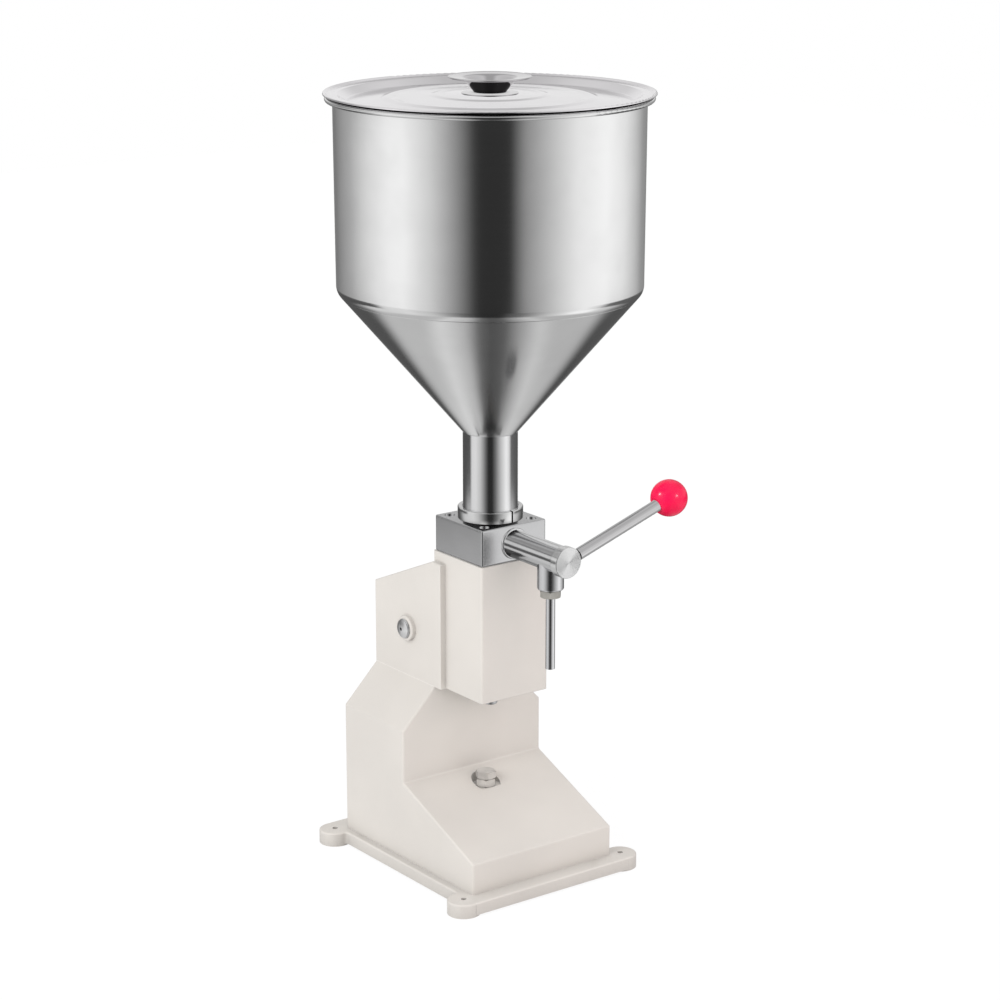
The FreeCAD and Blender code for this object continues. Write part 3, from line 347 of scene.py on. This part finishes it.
def turned_steel(name, colour, roughness, centre, pitch, depth):
    """A lathe-faced surface: fine grooves, so deep and so far apart, round an axis along Y."""
    steel = Finish(name, colour, roughness, 1.0)
    across, _, up = steel.split(steel.position())
    dx = across - centre.x
    dz = up - centre.z
    squared = dx * dx + dz * dz
    reach = squared.math("SQRT", squared)
    turns = reach * (2.0 * math.pi / pitch)
    slope = turns.math("COSINE", turns) * (math.pi * depth / pitch)
    outwards = steel.add("ShaderNodeCombineXYZ", {}, (dx, 0.0, dz))
    outwards = steel.add("ShaderNodeVectorMath", {"operation": "NORMALIZE"}, (outwards,))
    lean = steel.add("ShaderNodeCombineXYZ", {}, (slope, slope, slope))
    flat = steel.add("ShaderNodeNewGeometry", {}, {}, "Normal")
    normal = steel.add("ShaderNodeVectorMath", {"operation": "MULTIPLY_ADD"}, (outwards, lean, flat))
    steel.give("Normal", steel.add("ShaderNodeVectorMath", {"operation": "NORMALIZE"}, (normal,)))
    wander = steel.noise(steel.position(), 60.0, 2.0)
    steel.give("Roughness", roughness + 0.06 * wander)
    return steel.material


def plated_steel(name, colour, roughness, metallic=1.0):
    """Small turned parts with a plated skin: a painted highlight on the edges, and painted shade in the gaps.
    """
    steel = Finish(name, colour, roughness, metallic)
    place = steel.position()
    stain = steel.noise(place, 140.0, 3.0)
    grain = steel.noise(place, 1400.0, 2.0)
    dull = tuple(part * 0.85 for part in colour) + (1.0,)
    edge_highlight_tone = tuple(min(1.0, part * 1.25) for part in colour) + (1.0,)
    hollow_shade_tone = tuple(part * 0.25 for part in colour) + (1.0,)
    body = steel.mixed(stain.ramped(0.35, 0.75), steel.colour, dull)
    # Painted highlight: a lighter tone along the edges
    with_edge_line = steel.mixed(steel.edge_share(edge_highlight_r) * 0.8, body, edge_highlight_tone)
    # Painted shade: a darker tone in narrow gaps, where shade falls
    steel.give("Base Color", steel.mixed(steel.shade_share(gap_reach) * 0.8, with_edge_line, hollow_shade_tone))
    steel.give("Roughness", roughness + 0.12 * stain)
    steel.relief(grain, plating_depth)
    return steel.material


def rubber_black(name):
    rubber = Finish(name, (0.03, 0.03, 0.03), 0.6)
    grain = rubber.noise(rubber.position(), 900.0, 2.0)
    rubber.give("Roughness", 0.55 + 0.15 * grain)
    rubber.relief(grain, rubber_depth)
    return rubber.material


def ball_plastic(name):
    """Moulded phenolic, strong pinkish red, with a faint flow in the colour."""
    plastic = Finish(name, (0.86, 0.006, 0.075), 0.22, Specular_IOR_Level=0.25)
    place = plastic.position()
    flow = plastic.noise(place, 60.0, 3.0)
    deep = (0.74, 0.004, 0.055, 1.0)
    plastic.give("Base Color", plastic.mixed(flow.ramped(0.3, 0.7) * 0.5, plastic.colour, deep))
    plastic.give("Roughness", 0.20 + 0.04 * flow)
    return plastic.material


def middle_of(name):
    low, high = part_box(name)
    return (low + high) / 2.0


def coat(material, *names):
    """Give one finish to the pieces named."""
    for name in names:
        mesh = nodes[name].data
        mesh.materials.clear()
        mesh.materials.append(material)


def round_shading(axis, centre, *names):
    """Gives each ring of a turned piece one normal, so that the small faces of its bends shade as round."""
    for name in names:
        mesh = nodes[name].data
        places = [Turned(vertex.co - centre, axis) for vertex in mesh.vertices]
        numbers, rings = ring_numbers(places)
        neighbours = [set() for _ in rings]
        for edge in mesh.edges:
            first, second = (numbers[vertex] for vertex in edge.vertices)
            neighbours[first].add(second)
            neighbours[second].add(first)
        slopes = [ring_slopes(rings, number, near - {number}) for number, near in enumerate(neighbours)]
        normals = [corner.vector.copy() for corner in mesh.corner_normals]
        for face in mesh.polygons:
            outwards = Turned(face.center - centre, axis).outwards
            facing = Vector((face.normal.dot(outwards), face.normal.dot(axis)))
            if abs(face.normal.dot(axis.cross(outwards))) > side_share:
                continue
            for corner, vertex in zip(face.loop_indices, face.vertices):
                if places[vertex].radius > on_axis:
                    out, up = shared_normal(facing, slopes[numbers[vertex]])
                    normals[corner] = places[vertex].outwards * out + axis * up
        mesh.polygons.foreach_set("use_smooth", [True] * len(mesh.polygons))
        mesh.normals_split_custom_set(normals)


class Turned:
    """A place in a turned piece: how far out from the axis, how far along it, and which way is outwards."""

    def __init__(self, place, axis):
        self.along = place.dot(axis)
        outwards = place - axis * self.along
        self.radius = outwards.length
        self.outwards = outwards.normalized()


def ring_numbers(places):
    """The ring that each place is on, and each ring's radius and height; near places share a ring."""
    rings = []
    cells = {}
    numbers = []
    for place in places:
        point = Vector((place.radius, place.along))
        column, row = (math.floor(value / ring_gap) for value in point)
        near = [number for across in (-1, 0, 1) for up in (-1, 0, 1)
                for number in cells.get((column + across, row + up), ())
                if (rings[number] - point).length < ring_gap]
        if not near:
            near = [len(rings)]
            rings.append(point)
            cells.setdefault((column, row), []).append(near[0])
        numbers.append(near[0])
    return numbers, rings


def ring_slopes(rings, number, near):
    """The directions of the profile at a ring: one where it runs on smoothly, two at a sharp edge."""
    arms = sorted((rings[other] - rings[number] for other in near), key=lambda arm: arm.length)
    if not arms:
        return []
    first = arms[0]
    others = [arm for arm in arms if arm.angle(first) > same_side]
    if others and (-others[0]).angle(first) < sharp_step:
        return [(first - others[0]).normalized()]
    return [arm.normalized() for arm in (first, *others[:1])]


def shared_normal(facing, slopes):
    """The normal square to the slope that suits the way a face looks, or the face's own where none does."""
    squares = [Vector((slope.y, -slope.x)) for slope in slopes]
    squares = [square if square.dot(facing) > 0.0 else -square for square in squares]
    squares = [square for square in squares if square.angle(facing) < sharp_step]
    return min(squares, key=lambda square: square.angle(facing), default=facing.normalized())


def finishes():
    # Painted edge lines for the cream paint: a painted highlight for the body, a painted shade line for the
    # column
    edge_highlight = (0.97, 0.94, 0.90)
    edge_shade_line = (0.30, 0.29, 0.28)
    coat(cream_paint("cream_paint", edge_highlight, 0.0012), "foot_housing", "linkage_box", "base_plate")
    coat(cream_paint("cream_paint_column", edge_shade_line, 0.0006), "column", "column_foot_plate")
    coat(satin_steel("hopper_steel", (0.70, 0.70, 0.70), 0.13, spun_lines, line_depth),
         "hopper_wall", "hopper_cone")
    coat(satin_steel("lid_steel", (0.80, 0.785, 0.80), 0.10, even_lines, line_depth),
         "hopper_lid")
    coat(satin_steel("knob_steel", (0.56, 0.55, 0.56), 0.06, even_lines, finer_depth),
         "lid_knob")
    coat(satin_steel("block_steel", (0.50, 0.50, 0.505), 0.22, block_lines, fine_depth),
         "valve_block")
    coat(satin_steel("arm_steel", (0.66, 0.66, 0.665), 0.14, arm_lines, bright_depth),
         "discharge_arm")
    coat(satin_steel("lever_steel", (0.50, 0.495, 0.50), 0.08, lever_lines, bright_depth),
         "lever_rod")
    coat(satin_steel("upright_steel", (0.62, 0.62, 0.63), 0.16, upright_lines, line_depth),
         "spout_socket", "nozzle_tube")
    coat(satin_steel("neck_steel", (0.70, 0.70, 0.705), 0.12, upright_lines, line_depth),
         "hopper_neck")
    coat(satin_steel("collar_steel", (0.66, 0.66, 0.66), 0.13, upright_lines, fine_depth),
         "neck_collar")
    coat(turned_steel("faced_steel", (0.72, 0.72, 0.72), 0.2, middle_of("end_cap"),
                      cap_groove_pitch, cap_groove_depth),
         "end_cap")
    coat(plated_steel("nickel", (0.78, 0.73, 0.68), 0.32, 0.85), "stop_bolt", "lock_nut")
    coat(plated_steel("dull_nickel", (0.50, 0.485, 0.45), 0.35), "spout_nut")
    coat(plated_steel("zinc", (0.80, 0.80, 0.80), 0.28), "axle_washers", "axle_end_screws",
         "base_screws", "knob_screw", "knob_nut", "piston_nut")
    coat(plated_steel("machined", (0.58, 0.58, 0.58), 0.25), "head_plate", "cylinder_barrel", "piston",
         "piston_rod", "rod_pin", "rocker_lock_pin", "cross_axle", "axle_spacers", "valve_spindle")
    coat(plated_steel("black_oxide", (0.05, 0.05, 0.05), 0.4), "rod_pin_clips", "axle_bushes")
    coat(satin_steel("oiled_black", (0.02, 0.02, 0.02), 0.45, even_lines, line_depth), "block_screws")
    coat(plated_steel("iron", (0.22, 0.22, 0.23), 0.5), "rocker_arm")
    coat(plated_steel("bronze", (0.55, 0.38, 0.18), 0.35), "rod_bush")
    coat(rubber_black("rubber"), "cylinder_gasket", "piston_seals", "spindle_seals", "neck_seal",
         "nozzle_seal")
    coat(ball_plastic("pink_plastic"), "lever_ball")


def keep_out_of_mirrors(*names):
    """Pieces that the polished steel doesn't mirror, because the studio's cloths stand between."""
    for name in names:
        nodes[name].visible_glossy = False


def stage_object(name, mesh, material):
    thing = bpy.data.objects.new(name, mesh)
    mesh.materials.append(material)
    bpy.context.scene.collection.objects.link(thing)
    return thing


def floor():
    """A white floor that shows only the softest shadow to the camera."""
    mesh = bpy.data.meshes.new("floor")
    corners = [(-floor_half, -floor_half, 0), (floor_half, -floor_half, 0),
               (floor_half, floor_half, 0), (-floor_half, floor_half, 0)]
    mesh.from_pydata(corners, [], [(0, 1, 2, 3)])
    material = bpy.data.materials.new("floor_white")
    material.use_nodes = True
    sheet = NodeSheet(material.node_tree)
    shader = material.node_tree.nodes["Principled BSDF"]
    shader.inputs["Base Color"].default_value = floor_tone
    shader.inputs["Roughness"].default_value = 0.9
    shader.inputs["Specular IOR Level"].default_value = 0.0
    glow = sheet.add("ShaderNodeEmission", {}, {"Color": (1, 1, 1, 1), "Strength": floor_glow})
    seen = sheet.add("ShaderNodeLightPath", {}, {}, "Is Camera Ray")
    lit = Signal(sheet, shader.outputs[0])
    both = sheet.add("ShaderNodeMixShader", {}, {0: seen * floor_glow_share, 1: lit, 2: glow})
    sheet.feed(material.node_tree.nodes["Material Output"].inputs["Surface"], both)
    ground = stage_object("floor", mesh, material)
    ground.visible_glossy = False


def tent():
    """A round studio tent that only reflections see, with bright sides and a dark front."""
    mesh = bpy.data.meshes.new("tent")
    form = bmesh.new()
    bmesh.ops.create_uvsphere(form, u_segments=tent_columns, v_segments=tent_rows, radius=tent_r)
    form.to_mesh(mesh)
    form.free()
    material = bpy.data.materials.new("tent_cloth")
    material.use_nodes = True
    tree = material.node_tree
    tree.nodes.remove(tree.nodes["Principled BSDF"])
    sheet = NodeSheet(tree)
    x, y, z = sheet.split(sheet.position())
    round_share = x.math("ARCTAN2", x, 0.0 - y) * (0.5 / math.pi) + 0.5
    across = x * (0.5 / tent_r) + 0.5
    away = y * (1.0 / tent_r)
    height = z * (1.0 / tent_r)
    foot, waist, low, high, top = [sheet.ramp(stops, round_share)
                                   for stops in (FOOT_BANDS, WAIST_BANDS, LOW_BANDS, HIGH_BANDS, TOP_BANDS)]
    level = sheet.mixed(height.ramped(*waist_start), foot, waist)
    level = sheet.mixed(height.ramped(*low_start), level, low)
    level = sheet.mixed(height.ramped(*high_start), level, high)
    level = sheet.mixed(height.ramped(*top_start), level, top)
    level = sheet.mixed(height.ramped(*crown_start), level, sheet.ramp(CROWN_BANDS, across))
    level = sheet.mixed(height.ramped(*under_end), sheet.ramp(UNDER_BANDS, across), level)
    shade = (under_shade / tent_strength,) * 3 + (1.0,)
    level = sheet.mixed(away.ramped(*shade_start) * (1.0 - height.ramped(*shade_end)), level, shade)
    glow = sheet.add("ShaderNodeEmission", {}, {"Color": level, "Strength": tent_strength})
    sheet.feed(tree.nodes["Material Output"].inputs["Surface"], glow)
    cloth = stage_object("tent", mesh, material)
    cloth.location = (0, view_aim_axis_y, tent_height)
    cloth.rotation_euler = (0, 0, math.radians(view_azimuth))
    cloth.visible_camera = False
    cloth.visible_diffuse = False
    cloth.visible_shadow = False
    cloth.visible_transmission = False
    cloth.visible_volume_scatter = False


def lamp(name, place, aim, size, power, colour=(1.0, 1.0, 1.0)):
    """A square soft lamp that lights the paint and stays out of the reflections."""
    light = bpy.data.lights.new(name, "AREA")
    light.shape = "SQUARE"
    light.size = size
    light.energy = power
    light.color = colour
    thing = bpy.data.objects.new(name, light)
    thing.location = place
    thing.rotation_euler = (aim - place).to_track_quat("-Z", "Y").to_euler()
    thing.visible_glossy = False
    bpy.context.scene.collection.objects.link(thing)


def glint(name, aim, offset, size, power):
    """A small soft window that only the ball shows, as a highlight."""
    lamp(name, aim + offset, aim, size, power)
    light = bpy.data.objects[name]
    light.visible_glossy = True
    only_ball = bpy.data.collections.new(name)
    only_ball.objects.link(nodes["lever_ball"])
    light.light_linking.receiver_collection = only_ball


def world():
    """White to the camera, and an even soft light for everything else."""
    sky = bpy.data.worlds.new("studio")
    bpy.context.scene.world = sky
    sky.use_nodes = True
    tree = sky.node_tree
    sheet = NodeSheet(tree)
    path = tree.nodes.new("ShaderNodeLightPath")
    shown = Signal(sheet, path.outputs["Is Camera Ray"]) + Signal(sheet, path.outputs["Is Glossy Ray"])
    shown = shown + Signal(sheet, path.outputs["Is Transmission Ray"])
    background = tree.nodes["Background"]
    background.inputs["Color"].default_value = (1, 1, 1, 1)
    sheet.feed(background.inputs["Strength"], shown.ramped(0.0, 1.0) * (1.0 - sky_level) + sky_level)


camera()
finishes()
keep_out_of_mirrors("lever_ball", "lever_rod", "foot_housing", "base_plate", "linkage_box", "column",
                    "lid_knob", "knob_screw", "valve_block", "block_screws", "neck_collar", "discharge_arm",
                    "end_cap", "valve_spindle", "spindle_seals", "neck_seal")
round_shading(Vector((0, 0, 1)), middle_of("hopper_wall"), "hopper_wall", "hopper_cone", "hopper_neck",
              "neck_collar", "hopper_lid", "lid_knob")
round_shading(Vector((0, 1, 0)), middle_of("valve_spindle"), "discharge_arm", "end_cap")
floor()
tent()
lamp("key", key_place, lamp_aim, key_size, key_power)
glint("left_glint", middle_of("lever_ball"), left_glint_offset, left_glint_size, left_glint_power)
glint("right_glint", middle_of("lever_ball"), right_glint_offset, right_glint_size, right_glint_power)
lamp("fill", fill_place, lamp_aim, fill_size, fill_power, fill_tone)
world()
bpy.context.scene.view_settings.view_transform = "Standard"
